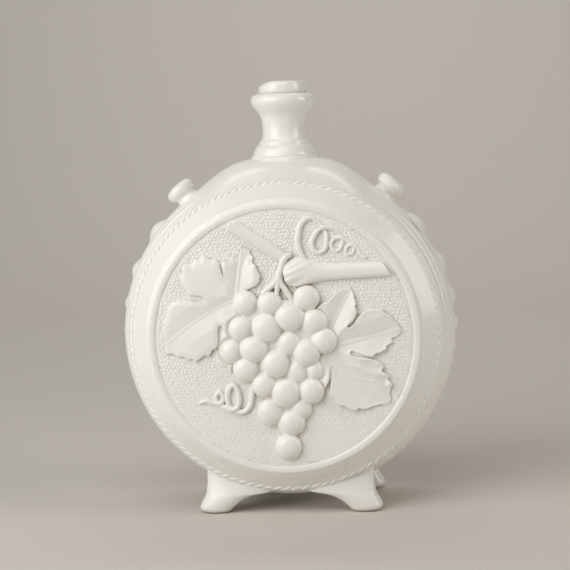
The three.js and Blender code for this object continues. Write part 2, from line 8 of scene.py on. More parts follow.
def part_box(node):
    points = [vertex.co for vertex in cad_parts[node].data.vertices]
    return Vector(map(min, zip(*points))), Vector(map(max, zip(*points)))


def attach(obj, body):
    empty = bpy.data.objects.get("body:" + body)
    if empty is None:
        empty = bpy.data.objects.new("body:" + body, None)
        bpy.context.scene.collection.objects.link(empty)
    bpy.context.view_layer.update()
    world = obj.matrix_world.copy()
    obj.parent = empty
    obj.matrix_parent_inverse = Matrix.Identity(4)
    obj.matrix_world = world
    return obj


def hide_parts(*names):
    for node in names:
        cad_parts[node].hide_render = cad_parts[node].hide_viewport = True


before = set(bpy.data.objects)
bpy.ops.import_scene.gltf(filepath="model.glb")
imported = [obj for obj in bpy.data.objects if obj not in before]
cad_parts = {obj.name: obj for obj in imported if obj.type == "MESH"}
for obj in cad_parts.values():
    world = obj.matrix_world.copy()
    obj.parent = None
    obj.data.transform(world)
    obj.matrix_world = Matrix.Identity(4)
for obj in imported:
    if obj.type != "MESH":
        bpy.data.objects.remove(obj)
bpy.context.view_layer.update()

MM = 0.001
FULL_TURN = 2 * math.pi


def corners(node):
    """Lowest and highest corner of a node of the construction, in millimetres."""
    low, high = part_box(node)
    return Vector(low) / MM, Vector(high) / MM


# Sizes of the surface that the construction leaves plain, in millimetres
WALL = 4.5
RING_WIDTH = 5.2
RING_HEIGHT = 0.8
RING_CREST = 2.1                # from the ring's outer foot in to its highest line
RING_INNER = 4.7                # and to its inner foot
RING_ROUND = 0.7                # power of its section: a half is round, one is peaked
GROOVE = ((-0.5, 0.0), (-0.15, 0.4), (0.2, 0.6), (0.8, 0.72))       # out from the ring's foot, and down
ROPE_THICKNESS = 3.6            # of the construction's rope, from which its place is read
ROPE_RADIUS = 2.3
ROPE_SINK = 1.0                 # how far the rope's core is bedded in the edge of the face
ROPE_STRANDS = 112
ROPE_CROWDING = (18, 150)       # how many more there would be at the closest, and its bearing in degrees
ROPE_TURNS = 4                  # strands side by side round the rope's core
ROPE_LAY_DEPTH = 0.32           # share of the rope's radius that the furrow between strands takes
ROPE_SWELL = 1.04               # share of it that a strand stands out to
ROPE_FACETS = 10                # round the body, for each strand
SIDE_FULLNESS = 2.4             # power of the side's swell: higher is squarer
SIDE_STEPS = 132
SIDE_FURROWS = (                # from the seam, width, depth
    (32.6, 1.2, 1.2), (27, 1.2, 2.8), (20, 1.3, 2.8), (10.6, 1.6, 1.8),
)
FURROW_FADE = (27, 41)          # degrees from straight up between which the furrows come in
SHOULDER_RISE = 5.4
SHOULDER_CROWN = 14             # degrees from straight up where that rise is complete
SHOULDER_END = 36.4             # degrees from straight up where it starts, at the lugs
HAND_WAVER = 0.16               # how far hand finishing leaves a face from true
SIDE_GRAIN = 28                 # and over what distance, on the side
SHELL_FACETS = 288
PEBBLE_GAP = 2.2
PEBBLE_ROWS = 0.87              # distance between rows, as a share of the gap
PEBBLE_HEIGHT = 0.44
PEBBLE_WIDTH = 0.52
PEBBLE_STRAY = 1.05
PEBBLE_FAINTEST = 0.6           # share of the height that is left low on the face
PEBBLE_GROWS = (-55, 25)        # heights from the face's middle between which the full height comes
PEBBLE_FADE = (-0.5, 2)         # distances in from the ring over which the pebbles begin
PEBBLE_GRID = 0.32
ROOT = 0.8                      # how far a relief form is sunk in the floor
SKIN = 0.4                      # grain of the soft skin that joins relief forms
CORD_SKIN = 0.7 * SKIN
VINE_SHIFT = (0.3, 0.5, 0)      # of the whole vine against the middle of the face
VINE_SCALE = 0.996

# Sizes read from the construction
shell_low, shell_high = corners("front_shell")
ring_high = corners("front_ring")[1]
rope_low, rope_high = corners("front_rope")
neck_high = corners("neck")[1]
head_low, head_high = corners("stopper_head")
cork_low, cork_high = corners("stopper_cork")
body_radius = shell_high.x
centre = shell_low.z + body_radius
face_depth = -shell_low.y
ring_outer = ring_high.x
floor_radius = ring_outer - RING_WIDTH
rope_radius = rope_high.x - ROPE_THICKNESS / 2
rope_depth = -rope_low.y - ROPE_THICKNESS / 2
crown = centre + body_radius + SHOULDER_RISE
mouth = neck_high.z


def smooth_step(value, low, high):
    share = min(1.0, max(0.0, (value - low) / (high - low)))
    return share * share * (3 - 2 * share)


def bell(distance, width):
    return math.exp(-((distance / width) ** 2))


# Mesh helpers

def loop_of(bm, places):
    """A chain of edges through the places."""
    verts = [bm.verts.new(place) for place in places]
    return [bm.edges.new(pair) for pair in zip(verts, verts[1:])]


def turned(profile, axis, steps):
    """A form turned on an axis through the origin from a profile of places."""
    bm = bmesh.new()
    loop_of(bm, profile)
    bmesh.ops.spin(bm, geom=bm.verts[:] + bm.edges[:], cent=(0, 0, 0), axis=axis, angle=FULL_TURN,
                   steps=steps, use_merge=True)
    bmesh.ops.remove_doubles(bm, verts=bm.verts, dist=0.001)
    bmesh.ops.recalc_face_normals(bm, faces=bm.faces)
    return bm


def curve_through(places, steps):
    """Places along a smooth curve through the given ones, the same number of steps between each two."""
    points = [Vector(place) for place in places]
    ends = [2 * points[0] - points[1]] + points + [2 * points[-1] - points[-2]]
    curve = []
    for before, start, stop, after in zip(ends, ends[1:], ends[2:], ends[3:]):
        for step in range(steps):
            t = step / steps
            bend = 2 * before - 5 * start + 4 * stop - after
            twist = 3 * start - before - 3 * stop + after
            curve.append(start + 0.5 * t * ((stop - before) + t * (bend + t * twist)))
    return curve + [points[-1]]


def only(kind, items):
    return [item for item in items if isinstance(item, kind)]


def drawn_out(bm, route, radii, sides):
    """A round cord of clay along a route: an end face is drawn out from place to place."""
    out = Vector((0, 0, 1))
    frames = []
    for i, place in enumerate(route):
        ahead = (route[min(i + 1, len(route) - 1)] - route[max(i - 1, 0)]).normalized()
        across = ahead.cross(out).normalized()
        turn = Matrix((across, across.cross(ahead), ahead)).transposed().to_4x4()
        frames.append(Matrix.Translation(place) @ turn @ Matrix.Scale(radii[i], 4))
    ring = bmesh.ops.create_circle(bm, cap_ends=True, segments=sides, radius=1.0, matrix=frames[0])["verts"]
    face = ring[0].link_faces[0]
    for before, after in zip(frames, frames[1:]):
        drawn = bmesh.ops.extrude_face_region(bm, geom=[face])["geom"]
        face = only(bmesh.types.BMFace, drawn)[0]
        moved = only(bmesh.types.BMVert, drawn)
        bmesh.ops.transform(bm, matrix=after @ before.inverted(), verts=moved)


def evaluated(bm, cutter=None, voxel=None):
    """The bmesh after one modifier: cut away by another form, or made one even skin."""
    spare = []
    for form in (bm, cutter):
        if form is not None:
            mesh = bpy.data.meshes.new("blank")
            form.to_mesh(mesh)
            form.free()
            spare.append(bpy.data.objects.new("blank", mesh))
            bpy.context.collection.objects.link(spare[-1])
    if cutter is None:
        skin = spare[0].modifiers.new("skin", "REMESH")
        skin.mode = "VOXEL"
        skin.voxel_size = voxel
    else:
        cut = spare[0].modifiers.new("cut", "BOOLEAN")
        cut.operation = "DIFFERENCE"
        cut.object = spare[1]
    made = bmesh.new()
    made.from_object(spare[0], bpy.context.evaluated_depsgraph_get())
    for item in spare:
        mesh = item.data
        bpy.data.objects.remove(item)
        bpy.data.meshes.remove(mesh)
    return made


def soften(bm, rounds):
    for _ in range(rounds):
        bmesh.ops.smooth_vert(bm, verts=bm.verts, factor=0.5,
                              use_axis_x=True, use_axis_y=True, use_axis_z=True)


def waver(bm, amount, grain):
    """Moves a skin in and out by the small unevenness that a hand leaves."""
    bm.normal_update()
    moves = [vert.normal * (amount * noise.noise(vert.co / grain)) for vert in bm.verts]
    for vert, move in zip(bm.verts, moves):
        vert.co += move


def cut_off(bm, place, direction):
    """Cuts off what lies past a plane and closes the cut."""
    bmesh.ops.bisect_plane(bm, geom=bm.verts[:] + bm.edges[:] + bm.faces[:], dist=0.0001,
                           plane_co=place, plane_no=direction, clear_outer=True)
    bmesh.ops.holes_fill(bm, edges=[edge for edge in bm.edges if edge.is_boundary])
    bmesh.ops.recalc_face_normals(bm, faces=bm.faces)


def finish(bm, name, material, body, nodes, crease=60):
    """Makes the bmesh a finished piece that moves with a body and stands for nodes of the construction."""
    bmesh.ops.scale(bm, vec=(MM, MM, MM), verts=bm.verts)
    mesh = bpy.data.meshes.new(name)
    bm.to_mesh(mesh)
    bm.free()
    mesh.shade_smooth()
    mesh.set_sharp_from_angle(angle=math.radians(crease))
    mesh.materials.append(material)
    piece = bpy.data.objects.new(name, mesh)
    bpy.context.collection.objects.link(piece)
    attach(piece, body)
    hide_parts(*nodes)


# Finishes

def linear(code):
    """A colour written as sRGB hex, as the linear value that a shader takes."""
    channels = [int(code[i:i + 2], 16) / 255 for i in (1, 3, 5)]
    return [c / 12.92 if c <= 0.04045 else ((c + 0.055) / 1.055) ** 2.4 for c in channels] + [1.0]


def add(material, kind, settings=None, **inputs):
    """Adds a node with its settings; an input is a socket to link or a value, by name or as _number."""
    node = material.node_tree.nodes.new(kind)
    for key, value in (settings or {}).items():
        setattr(node, key, value)
    for key, value in inputs.items():
        socket = node.inputs[int(key[1:])] if key[1:].isdigit() else node.inputs[key.replace("_", " ")]
        if isinstance(value, bpy.types.NodeSocket):
            material.node_tree.links.new(value, socket)
        else:
            socket.default_value = value
    return node


def blank_material(name):
    material = bpy.data.materials.new(name)
    material.use_nodes = True
    return material, material.node_tree.nodes["Principled BSDF"]


MIX_COLOURS = {"data_type": "RGBA"}


def glazed_porcelain(name, dullness, stained=False):
    # Glazed porcelain, slip cast and fired: a warm white body under a clear, thick, slightly uneven glaze.
    # Soft broad gloss, faint cloudiness, and in hollows a darker cast of pooled glaze and painted shade
    material, shader = blank_material(name)
    links = material.node_tree.links
    cloud_size, smear_size, peel_size, blot_size = 35 * MM, 18 * MM, 6 * MM, 7 * MM
    place = add(material, "ShaderNodeTexCoord").outputs["Object"]
    cloud = add(material, "ShaderNodeTexNoise", Vector=place, Scale=1 / cloud_size, Detail=3.0)
    tone = add(material, "ShaderNodeMix", MIX_COLOURS, _0=cloud.outputs["Fac"],
               _6=linear("#F6F5F0"), _7=linear("#F2EFE8")).outputs[2]
    # Painted shade: occluded hollows are darkened to a grey tan, partly as pooled glaze, partly as the shade
    # there
    hollow = add(material, "ShaderNodeAmbientOcclusion", {"samples": 8}, Distance=4 * MM)
    pooled_glaze_and_shade = add(material, "ShaderNodeMapRange", Value=hollow.outputs["AO"], _1=0.1, _2=0.7, _3=1.0, _4=0.0)
    tone = add(material, "ShaderNodeMix", MIX_COLOURS, _0=pooled_glaze_and_shade.outputs[0],
               _6=tone, _7=linear("#CFC5B7")).outputs[2]
    if stained:
        height = add(material, "ShaderNodeSeparateXYZ", Vector=place).outputs["Z"]
        above = add(material, "ShaderNodeMath", {"operation": "SUBTRACT"}, _0=height, _1=mouth * MM)
        near = add(material, "ShaderNodeMath", {"operation": "ABSOLUTE"}, _0=above.outputs[0])
        line = add(material, "ShaderNodeMapRange", Value=near.outputs[0],
                   _1=0.2 * MM, _2=1.6 * MM, _3=0.2, _4=0.0)
        blot = add(material, "ShaderNodeTexNoise", Vector=place, Scale=1 / blot_size, Detail=2.0)
        patch = add(material, "ShaderNodeMapRange", Value=blot.outputs["Fac"], _1=0.52, _2=0.7)
        share = add(material, "ShaderNodeMath", {"operation": "MULTIPLY"},
                    _0=line.outputs[0], _1=patch.outputs[0])
        tone = add(material, "ShaderNodeMix", MIX_COLOURS, _0=share.outputs[0],
                   _6=tone, _7=linear("#A48768")).outputs[2]
    links.new(tone, shader.inputs["Base Color"])
    smear = add(material, "ShaderNodeTexNoise", Vector=place, Scale=1 / smear_size, Detail=2.0)
    dull = add(material, "ShaderNodeMapRange", Value=smear.outputs["Fac"],
               _1=0.3, _2=0.7, _3=dullness - 0.04, _4=dullness + 0.04)
    links.new(dull.outputs[0], shader.inputs["Roughness"])
    peel = add(material, "ShaderNodeTexNoise", Vector=place, Scale=1 / peel_size, Detail=2.0)
    bump = add(material, "ShaderNodeBump", Strength=0.25, Distance=0.2 * MM, Height=peel.outputs["Fac"])
    links.new(bump.outputs["Normal"], shader.inputs["Normal"])
    shader.inputs["IOR"].default_value = 1.5
    shader.inputs["Coat Weight"].default_value = 0.15
    shader.inputs["Coat Roughness"].default_value = 0.15
    shader.inputs["Subsurface Weight"].default_value = 0.05
    shader.inputs["Subsurface Radius"].default_value = (2 * MM, 1.7 * MM, 1.4 * MM)
    shader.inputs["Subsurface Scale"].default_value = 1.0
    return material


def ground_cork():
    # Cork, cut and ground: dull warm brown grains with darker pores
    material, shader = blank_material("ground_cork")
    links = material.node_tree.links
    grain_size, pore_size = 2.5 * MM, 1.8 * MM
    place = add(material, "ShaderNodeTexCoord").outputs["Object"]
    grain = add(material, "ShaderNodeTexVoronoi", Vector=place, Scale=1 / grain_size)
    shade = add(material, "ShaderNodeSeparateXYZ", Vector=grain.outputs["Color"])
    tone = add(material, "ShaderNodeMix", MIX_COLOURS, _0=shade.outputs["X"],
               _6=linear("#C49A68"), _7=linear("#A87C4C"))
    pore = add(material, "ShaderNodeTexNoise", Vector=place, Scale=1 / pore_size, Detail=4.0).outputs["Fac"]
    dark = add(material, "ShaderNodeMapRange", Value=pore, _1=0.6, _2=0.72)
    tone = add(material, "ShaderNodeMix", MIX_COLOURS, _0=dark.outputs[0],
               _6=tone.outputs[2], _7=linear("#5E4026"))
    links.new(tone.outputs[2], shader.inputs["Base Color"])
    bump = add(material, "ShaderNodeBump", Strength=0.6, Distance=0.4 * MM, Height=pore)
    links.new(bump.outputs["Normal"], shader.inputs["Normal"])
    shader.inputs["Roughness"].default_value = 0.85
    return material


porcelain = glazed_porcelain("glazed_porcelain", 0.3)
mouth_porcelain = glazed_porcelain("mouth_stained_porcelain", 0.18, stained=True)
cork = ground_cork()


# The round body

def side_radius(depth):
    """Radius of the body's side at a distance from the seam."""
    return body_radius - (body_radius - rope_radius) * (abs(depth) / rope_depth) ** SIDE_FULLNESS


def furrow(depth):
    """Depth of the sharp creases that part the side's soft rolls."""
    return sum(cut * math.exp(-abs(abs(depth) - place) / width) for place, width, cut in SIDE_FURROWS)


def shoulder_lift(lean, depth):
    """Extra radius of the shoulder, by degrees from straight up and distance from the seam."""
    climb = 1 - smooth_step(abs(lean), SHOULDER_CROWN, SHOULDER_END)
    return SHOULDER_RISE * climb * max(0.0, 1 - (depth / rope_depth) ** 2)


def shell_form():
    """Half of the body, hollow, on the front side, round the origin."""
    depths = [rope_depth * (1 - step / SIDE_STEPS) for step in range(SIDE_STEPS + 1)]
    outside = [(0, -face_depth, 0), (floor_radius, -face_depth, 0)]
    outside += [(ring_outer + out, down - face_depth, 0) for out, down in GROOVE]
    band_steps = 6
    for step in range(1, band_steps):
        share = step / band_steps
        radius = ring_outer + share * (rope_radius - ring_outer)
        outside.append((radius, -face_depth + share * (face_depth - rope_depth), 0))
    outside += [(side_radius(depth), -depth, 0) for depth in depths]
    inside = [(0, WALL - face_depth, 0), (ring_outer - WALL, WALL - face_depth, 0)]
    first, every = 10, 6
    inside += [(side_radius(depth) - WALL, -depth, 0) for depth in depths[first::every]]
    inside.append((side_radius(0) - WALL, 0, 0))
    bm = turned(outside + inside[::-1], (0, 1, 0), SHELL_FACETS)
    for vert in bm.verts:
        reach = math.hypot(vert.co.x, vert.co.z)
        if reach < 1:
            continue
        depth = vert.co.y
        lean = math.degrees(math.atan2(vert.co.x, vert.co.z))
        grow = shoulder_lift(lean, depth)
        if abs(depth) < rope_depth - 0.1 and reach > side_radius(depth) - WALL / 2:
            grow -= furrow(depth) * smooth_step(abs(lean), *FURROW_FADE)
            grow += HAND_WAVER * noise.noise(vert.co / SIDE_GRAIN)
        vert.co.x *= 1 + grow / reach
        vert.co.z *= 1 + grow / reach
    return bm


def neck_hole():
    bm = bmesh.new()
    bmesh.ops.create_cone(bm, cap_ends=True, segments=64, radius1=NECK_ROOT, radius2=NECK_ROOT, depth=60)
    bmesh.ops.translate(bm, vec=(0, 0, body_radius), verts=bm.verts)
    return bm


def on_both_faces(form, place_front, name, front_node, rear_node, crease=60):
    """The same form on the front and, turned half round, on the back."""
    bmesh.ops.transform(form, matrix=place_front, verts=form.verts)
    back = form.copy()
    bmesh.ops.rotate(back, cent=(0, 0, 0), matrix=Matrix.Rotation(math.pi, 3, "Z"), verts=back.verts)
    finish(form, f"front_{name}", porcelain, "bottle", [front_node], crease)
    finish(back, f"rear_{name}", porcelain, "bottle", [rear_node], crease)


raise_body = Matrix.Translation((0, 0, centre))
on_face = Matrix.Translation((0, -face_depth, centre)) @ Matrix.Rotation(math.pi / 2, 4, "X")
on_vine = on_face @ Matrix.Translation(VINE_SHIFT) @ Matrix.Diagonal((VINE_SCALE, VINE_SCALE, 1, 1))


def pebble(across, up):
    """Height of the pebbled ground: uneven rows of beads, bolder towards the top and gone at the ring."""
    boldness = PEBBLE_FAINTEST + (1 - PEBBLE_FAINTEST) * smooth_step(up, *PEBBLE_GROWS)
    boldness *= smooth_step(floor_radius - math.hypot(across, up), *PEBBLE_FADE)
    row_gap = PEBBLE_ROWS * PEBBLE_GAP
    near_row = round(up / row_gap)
    nearest = PEBBLE_GAP
    for row in (near_row - 1, near_row, near_row + 1):
        shift = 0.5 * (row % 2)
        near_place = round(across / PEBBLE_GAP - shift)
        for place in (near_place - 1, near_place, near_place + 1):
            stray = noise.cell_vector((place + 0.5, row + 0.5, 0.5)) - Vector((0.5, 0.5, 0))
            bead = Vector(((place + shift) * PEBBLE_GAP, row * row_gap)) + PEBBLE_STRAY * stray.xy
            nearest = min(nearest, (bead - Vector((across, up))).length)
    return PEBBLE_HEIGHT * boldness * bell(nearest, PEBBLE_WIDTH)


def pebbled_floor(side):
    """The left or right half of a face's floor, as a closed slab."""
    bm = bmesh.new()
    span = floor_radius + RING_WIDTH / 2
    cells = round(span / PEBBLE_GRID)
    half = Matrix.Translation((side * span / 2, 0, 0)) @ Matrix.Diagonal((0.5, 1, 1, 1))
    bmesh.ops.create_grid(bm, x_segments=cells, y_segments=2 * cells, size=span, matrix=half)
    bmesh.ops.delete(bm, geom=[vert for vert in bm.verts if vert.co.length > span], context="VERTS")
    for vert in bm.verts:
        vert.co.z = pebble(vert.co.x, vert.co.y)
    rim = [edge for edge in bm.edges if edge.is_boundary]
    skirt = bmesh.ops.extrude_edge_only(bm, edges=rim)["geom"]
    for vert in only(bmesh.types.BMVert, skirt):
        vert.co.z = -ROOT
    bmesh.ops.holes_fill(bm, edges=[edge for edge in bm.edges if edge.is_boundary])
    bmesh.ops.recalc_face_normals(bm, faces=bm.faces)
    return bm


def ring_form():
    """A bead that is a little steeper on its outer side."""
    steps = 28
    inner, crest, outer = ring_outer - RING_INNER, ring_outer - RING_CREST, ring_outer + GROOVE[1][0]
    arch = []
    for step in range(steps + 1):
        radius = inner + (outer - inner) * step / steps
        share = (radius - crest) / ((outer if radius > crest else inner) - crest)
        arch.append((radius, -face_depth - RING_HEIGHT * max(0.0, 1 - share * share) ** RING_ROUND, 0))
    foot = [(outer, 2 * ROOT - face_depth, 0), (inner, ROOT - face_depth, 0)]
    bm = turned(arch + foot + arch[:1], (0, 1, 0), 240)
    waver(bm, HAND_WAVER, grain=22)
    return bm


def rope_form():
    """A laid rope bedded in the edge of the face, its furrows winding round the core."""
    sides = 24
    crowding, bearing = ROPE_CROWDING
    core_radius = rope_radius - ROPE_SINK
    core_depth = rope_depth - ROPE_SINK
    section = []
    for step in range(sides + 1):
        angle = FULL_TURN * step / sides
        radius = core_radius + ROPE_RADIUS * math.cos(angle)
        section.append((radius, ROPE_RADIUS * math.sin(angle) - core_depth, 0))
    bm = turned(section, (0, 1, 0), ROPE_FACETS * ROPE_STRANDS)
    for vert in bm.verts:
        round_body = math.atan2(vert.co.z, vert.co.x)
        outward = Vector((math.cos(round_body), 0, math.sin(round_body)))
        core = core_radius * outward - Vector((0, core_depth, 0))
        offset = vert.co - core
        round_core = math.atan2(-offset.y, offset.dot(outward))
        lay = ROPE_TURNS * round_core - ROPE_STRANDS * round_body
        lay -= crowding * math.sin(round_body - math.radians(bearing))
        cut = (0.5 + 0.5 * math.cos(lay)) ** 2
        vert.co = core + offset * (ROPE_SWELL - ROPE_LAY_DEPTH * cut)
    return bm


def make_body():
    shell = evaluated(shell_form(), cutter=neck_hole())
    on_both_faces(shell, raise_body, "half_shell", "front_shell", "back_shell", crease=50)
    on_both_faces(pebbled_floor(-1), on_face, "left_floor", "front_shell", "back_shell")
    on_both_faces(pebbled_floor(1), on_face, "right_floor", "front_shell", "back_shell")
    on_both_faces(ring_form(), raise_body, "face_ring", "front_ring", "rear_ring")
    on_both_faces(rope_form(), raise_body, "rope_border", "front_rope", "rear_rope", crease=80)


# Neck and stopper

NECK_OUTSIDE = (                # below the mouth, radius
    (0.0, 14.5), (0.3, 15.8), (1.2, 17.6), (2.6, 18.7), (4.7, 19.05), (7.0, 18.3), (9.6, 16.4),
    (12.6, 14.2), (16.0, 12.9), (21.0, 12.4), (24.5, 12.6), (26.4, 13.1), (27.8, 14.0), (28.3, 14.5),
    (28.9, 14.7), (29.7, 14.8), (30.0, 15.3), (30.4, 16.0), (31.5, 17.0), (33.0, 18.0), (33.9, 18.4),
    (34.2, 18.3), (34.5, 18.7), (35.2, 19.3), (35.8, 19.7), (36.1, 20.4), (36.3, 21.8), (37.4, 24.0),
)
NECK_FOLLOWS = (27.5, 36.0)     # below the mouth, where the outline comes to follow the shoulder
NECK_BORE = 8.9
NECK_ROOT = 16
NECK_INSIDE = (                 # below the mouth, radius
    (40, NECK_ROOT), (36, NECK_ROOT), (21, NECK_BORE), (0.8, NECK_BORE), (0, NECK_BORE + 0.8),
)


def shoulder_height(across, depth):
    lean = math.degrees(math.asin(across / body_radius))
    radius = side_radius(depth) + shoulder_lift(lean, depth)
    return centre + math.sqrt(radius ** 2 - across ** 2)


def neck_form():
    outside = curve_through([Vector((radius, 0, mouth - fall)) for fall, radius in NECK_OUTSIDE], 4)
    inside = [(radius, 0, mouth - fall) for fall, radius in NECK_INSIDE]
    bm = turned([*outside, *inside, outside[0]], (0, 0, 1), 128)
    for vert in bm.verts:
        follow = smooth_step(mouth - vert.co.z, *NECK_FOLLOWS)
        if vert.co.xy.length > NECK_BORE + 1:
            vert.co.z -= follow * (crown - shoulder_height(vert.co.x, vert.co.y))
    waver(bm, 0.5 * HAND_WAVER, grain=14)
    return bm


HEAD_SEAT = 0.04                # between the mouth and the cap
HEAD_EDGE = 2.4
HEAD_DRAFT = 0.7                # how far the cap's side leans in
HEAD_WORN = 1.9                 # how far one side of the cap's top has worn down
PEG_RADIUS = 4.0
PEG_BEVEL = 0.4
CORK_FIT = 0.3                  # between the peg and the sleeve
CORK_NOSE = ((1.2, 0.0), (0.5, 0.8))    # lower end: in from the full radius, up
CORK_RIM = ((0.0, 0.6), (0.5, 0.0))     # upper end: in from the full radius, down


def stopper_head_form():
    """A low cap with a rounded upper edge, worn down on one side, and the peg under it."""
    under, top, radius = mouth + HEAD_SEAT, head_high.z, head_high.x
    outline = [(0, 0, head_low.z), (PEG_RADIUS - PEG_BEVEL, 0, head_low.z)]
    outline += [(PEG_RADIUS, 0, head_low.z + PEG_BEVEL), (PEG_RADIUS, 0, under)]
    outline += [(radius - 0.2, 0, under), (radius, 0, under + 0.3)]
    steps = 8
    for step in range(steps + 1):
        angle = 0.5 * math.pi * step / steps
        edge = radius - HEAD_DRAFT - HEAD_EDGE + HEAD_EDGE * math.cos(angle)
        outline.append((edge, 0, top - HEAD_EDGE + HEAD_EDGE * math.sin(angle)))
    outline.append((0, 0, top))
    bm = turned(outline, (0, 0, 1), 96)
    for vert in bm.verts:
        high = smooth_step(vert.co.z, under + 1.5, top)
        vert.co.z -= HEAD_WORN * high * smooth_step(-vert.co.x, 0.3 * radius, radius)
    waver(bm, HAND_WAVER, grain=9)
    return bm


def stopper_cork_form():
    inside, outside = PEG_RADIUS + CORK_FIT, cork_high.x
    low, high = cork_low.z, cork_high.z
    outline = [(inside, 0, low)]
    outline += [(outside - inward, 0, low + up) for inward, up in CORK_NOSE]
    outline += [(outside - inward, 0, high - down) for inward, down in CORK_RIM]
    outline += [(inside, 0, high), (inside, 0, low)]
    return turned(outline, (0, 0, 1), 64)


def make_neck_and_stopper():
    finish(neck_form(), "glazed_neck", mouth_porcelain, "bottle", ["neck"])
    finish(stopper_head_form(), "stopper_cap", mouth_porcelain, "stopper",
           ["stopper_head"])
    finish(stopper_cork_form(), "stopper_sleeve", cork, "stopper", ["stopper_cork"])


# Lugs, feet and bosses

LUG_BEARING = 53.6              # degrees above the horizontal, from the body's centre
LUG_LEAN = 49.4                 # degrees above the horizontal of the lug's own axis
LUG_ROOT = 7                    # how far it runs on inside the body
LUG_OUTLINE = (                 # radius, along the axis from the shoulder
    (11.0, -3.4), (8.6, -1.6), (7.3, 0.0), (6.6, 1.4), (6.4, 2.4), (6.7, 3.2), (7.5, 3.9), (8.3, 4.7),
    (8.8, 5.8), (8.9, 6.9), (8.6, 8.2), (7.7, 9.4), (5.9, 10.3), (3.2, 10.8), (0.0, 10.9),
)


def lug_form(side):
    outline = curve_through([Vector((radius, 0, along)) for radius, along in LUG_OUTLINE], 4)
    bm = turned([(0, 0, -LUG_ROOT), (LUG_OUTLINE[0][0], 0, -LUG_ROOT), *outline], (0, 0, 1), 64)
    waver(bm, HAND_WAVER, grain=10)
    lean = Matrix.Rotation(side * math.radians(90 - LUG_LEAN), 4, "Y")
    bearing = math.radians(LUG_BEARING)
    foot = body_radius * Vector((side * math.cos(bearing), 0, math.sin(bearing)))
    bmesh.ops.transform(bm, matrix=Matrix.Translation(foot + Vector((0, 0, centre))) @ lean, verts=bm.verts)
    return bm


FOOT_LEVELS = (                 # height, outer edge, inner edge from the bottle's middle, half depth
    (0.0, 49.2, 37.4, 5.2), (0.5, 50.9, 36.0, 6.7), (1.6, 52.6, 34.6, 8.0), (3.4, 53.5, 32.9, 8.7),
    (6.0, 52.4, 29.8, 8.9), (8.3, 51.0, 26.0, 8.9), (9.6, 50.4, 22.6, 8.8), (10.6, 50.0, 18.6, 8.7),
    (11.4, 49.7, 13.5, 8.5), (12.4, 49.5, 9.5, 8.2), (14.5, 49.2, 8.4, 7.6), (18.0, 48.8, 8.0, 6.5),
    (27.0, 48.8, 8.0, 4.6),
)
FOOT_SQUARENESS = 0.6           # power of the foot's section: one is an oval, below one is squarer
FOOT_SETBACK = 29.5


def foot_form(side, end):
    """A splayed foot, drawn up from its sole level by level until it is inside the body."""
    bm = bmesh.new()
    levels = []
    for height, outer, inner, depth in curve_through(FOOT_LEVELS, 3):
        middle = Matrix.Translation(((outer + inner) / 2, end * FOOT_SETBACK, height))
        levels.append(middle @ Matrix.Diagonal(((outer - inner) / 2, depth, 1, 1)))
    ring = bmesh.ops.create_circle(bm, cap_ends=True, segments=40, radius=1.0, matrix=levels[0])["verts"]
    for vert in ring:
        across, along, _ = levels[0].inverted() @ vert.co
        vert.co = levels[0] @ Vector((across, math.copysign(abs(along) ** FOOT_SQUARENESS, along), 0))
    face = ring[0].link_faces[0]
    for before, after in zip(levels, levels[1:]):
        drawn = bmesh.ops.extrude_face_region(bm, geom=[face])["geom"]
        face = only(bmesh.types.BMFace, drawn)[0]
        moved = only(bmesh.types.BMVert, drawn)
        bmesh.ops.transform(bm, matrix=after @ before.inverted(), verts=moved)
    bmesh.ops.scale(bm, vec=(side, 1, 1), verts=bm.verts)
    bmesh.ops.recalc_face_normals(bm, faces=bm.faces)
    return bm


BOSS_COUNT = 6
BOSS_DROP = 26.3                # from a lug down the side to the middle of the top boss
BOSS_STEP = 26.5                # from the top boss to the next
BOSS_SHRINK = 0.79              # each boss and each step against the one above
BOSS_HALF = (9.4, 8.6)          # down the side, along the depth
BOSS_HEIGHT = 3.5
BOSS_EDGE = 0.5                 # how far the boss's edge runs on under the side
BOSS_FILLET = (0.85, 1.15)      # shares of its half size over which the edge turns down
BOSS_ROUND = 1.3                # power of the dome: higher is more pointed
BOSS_ROOT = (0.9, -2)           # share of its half size, and depth, of the hidden underside


def boss_form(side, place):
    """A low dome with a soft fillet, laid on the swelling side."""
    share = BOSS_SHRINK ** place
    passed = BOSS_STEP * (1 - share) / (1 - BOSS_SHRINK)
    bearing = math.radians(LUG_BEARING) - (BOSS_DROP + passed) / body_radius
    steps = 16
    dome = []
    for step in range(steps + 1):
        out = BOSS_FILLET[1] * step / steps
        height = BOSS_HEIGHT * share * max(0.0, 1 - out * out) ** BOSS_ROUND
        dome.append((out, 0, height - BOSS_EDGE * smooth_step(out, *BOSS_FILLET)))
    root_reach, root_depth = BOSS_ROOT
    bm = turned([*dome, (root_reach, 0, root_depth), (0, 0, root_depth)], (0, 0, 1), 48)
    for vert in bm.verts:
        angle = bearing + share * BOSS_HALF[0] * vert.co.x / body_radius
        depth = share * BOSS_HALF[1] * vert.co.y
        radius = side_radius(depth) + vert.co.z
        vert.co = Vector((side * radius * math.cos(angle), depth, centre + radius * math.sin(angle)))
    bmesh.ops.recalc_face_normals(bm, faces=bm.faces)
    return bm


def make_fittings():
    for side_name, side in (("left", -1), ("right", 1)):
        node = f"{side_name}_lug"
        finish(lug_form(side), f"{node}_glazed", porcelain, "bottle", [node])
        for end_name, end in (("front", -1), ("rear", 1)):
            node = f"{end_name}_{side_name}_foot"
            finish(foot_form(side, end), f"{node}_glazed", porcelain, "bottle", [node])
        for place in range(BOSS_COUNT):
            node = f"{side_name}_boss_{place + 1}"
            finish(boss_form(side, place), f"{node}_glazed", porcelain, "bottle", [node])


# The vine in relief, drawn across and up from the middle of a face, and out from its floor

